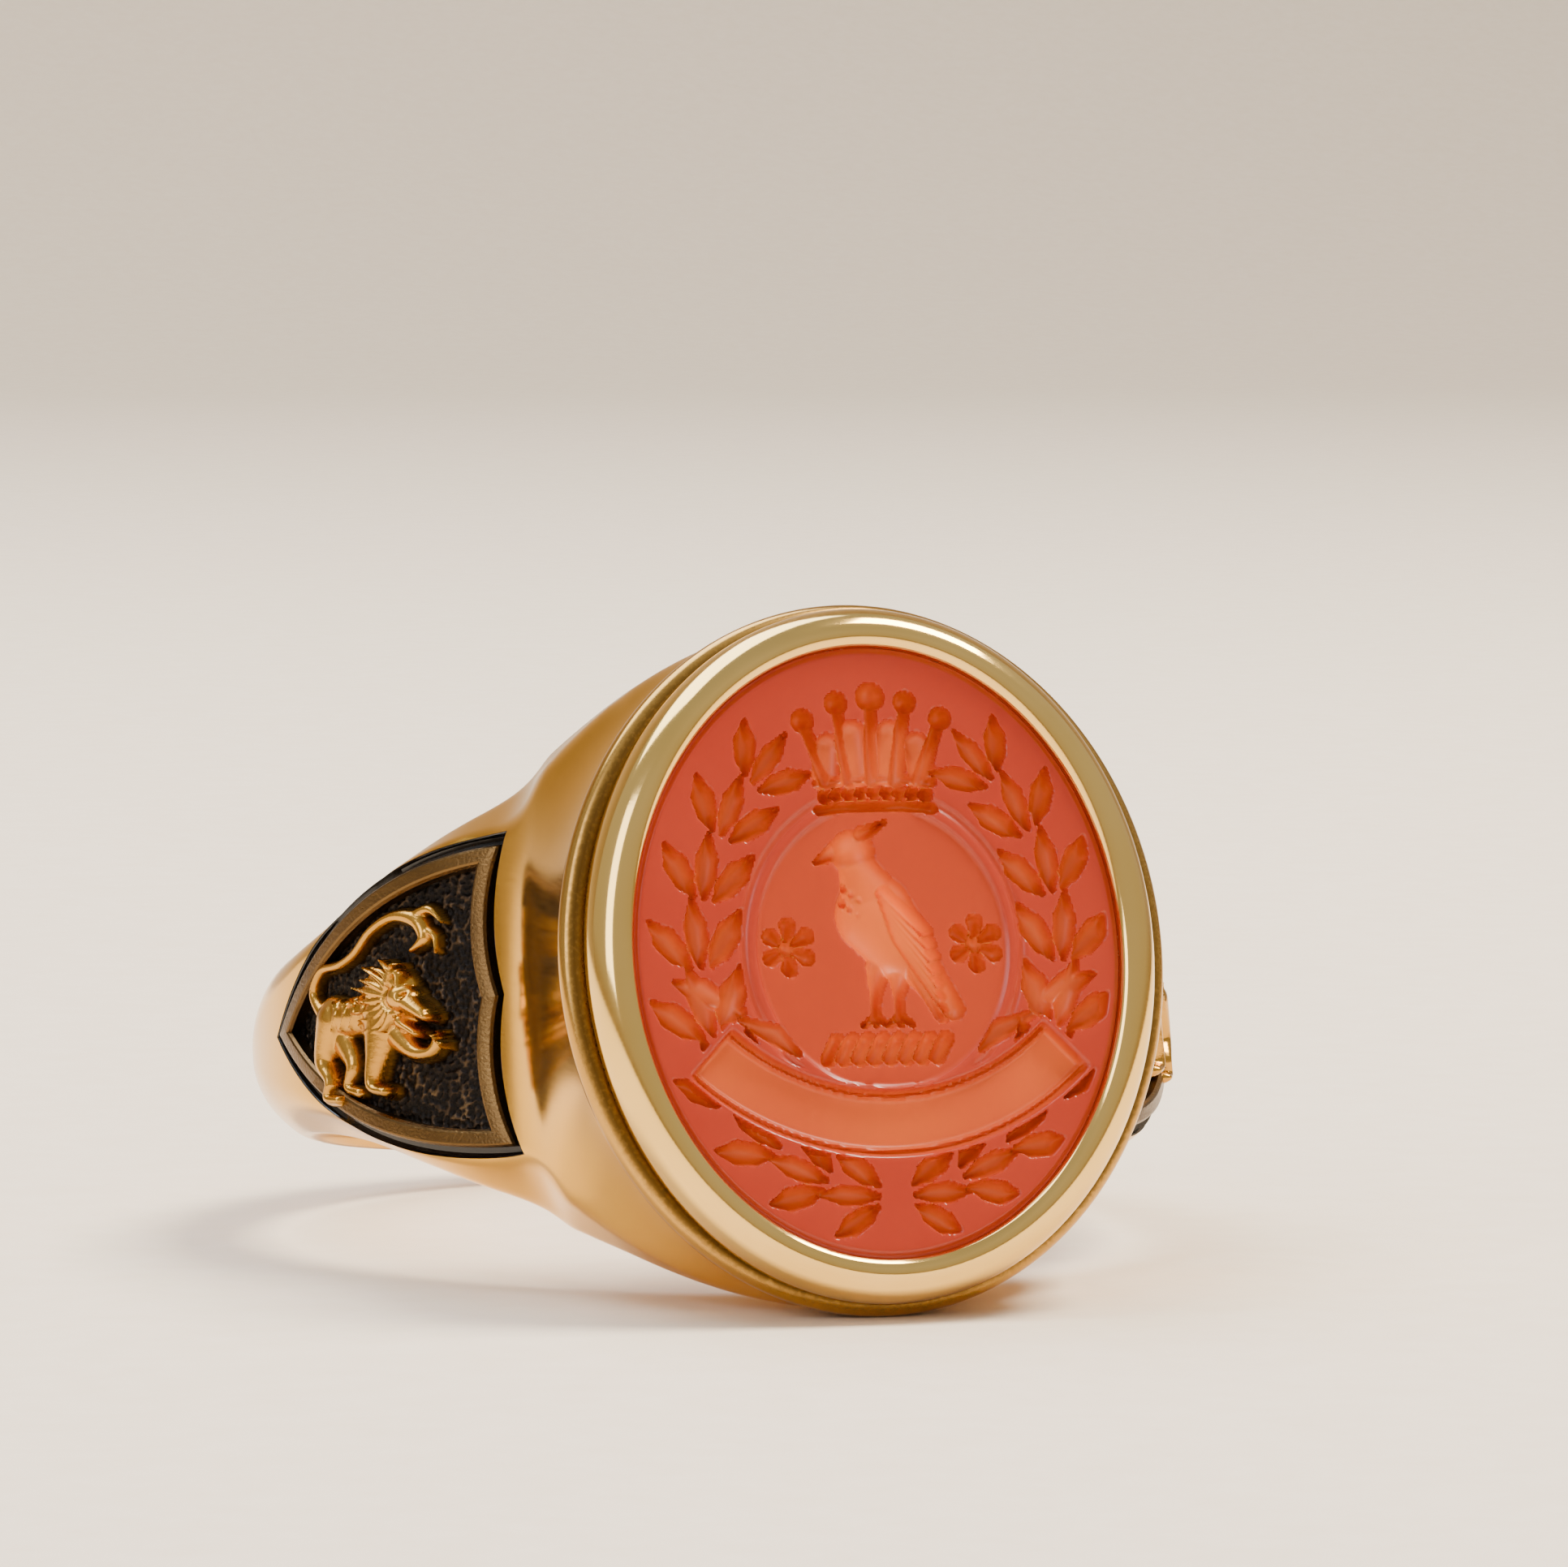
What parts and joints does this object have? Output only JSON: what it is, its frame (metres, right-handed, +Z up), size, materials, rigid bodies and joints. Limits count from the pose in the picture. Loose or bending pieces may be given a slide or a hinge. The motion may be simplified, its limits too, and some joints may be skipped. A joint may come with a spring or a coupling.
{
  "type": "signet ring",
  "caption": "Gold signet ring with an oval engraved orange stone in a collet and a black shield with a beast in relief on each shoulder, lying on its side.",
  "frame": {"origin": "centre of the finger hole, on its axis", "axes": "the ring lies on its side: +Z is up and the finger axis leans 13 degrees from it towards +Y; -Y is the side of the head and stone; +X runs across the head"},
  "size_m": [0.022, 0.0278, 0.0161],
  "materials": {
    "gold_shank": "polished yellow gold",
    "gold_moulding": "polished yellow gold wire, darker in its groove",
    "gold_collet": "burnished yellow gold",
    "gold_bearing": "satin yellow gold",
    "carnelian": "polished face with matt engraving",
    "black_fill": "black enamel, slightly sunken",
    "blackened_ground": "blackened and stippled gold",
    "gold_border": "satin yellow gold with dark edges",
    "gold_relief": "cast yellow gold, polished on its high points"
  },
  "bodies": {
    "root": {"shank": "gold_shank", "base_moulding": "gold_moulding", "bezel_wall": "gold_collet", "bearing_ring": "gold_bearing", "carnelian_stone": "carnelian", "left_shield_enamel": "black_fill", "left_shield_plaque": "blackened_ground", "left_shield_border": "gold_border", "left_shield_beast": "gold_relief", "right_shield_enamel": "black_fill", "right_shield_plaque": "blackened_ground", "right_shield_border": "gold_border", "right_shield_beast": "gold_relief"}
  },
  "joints": []
}
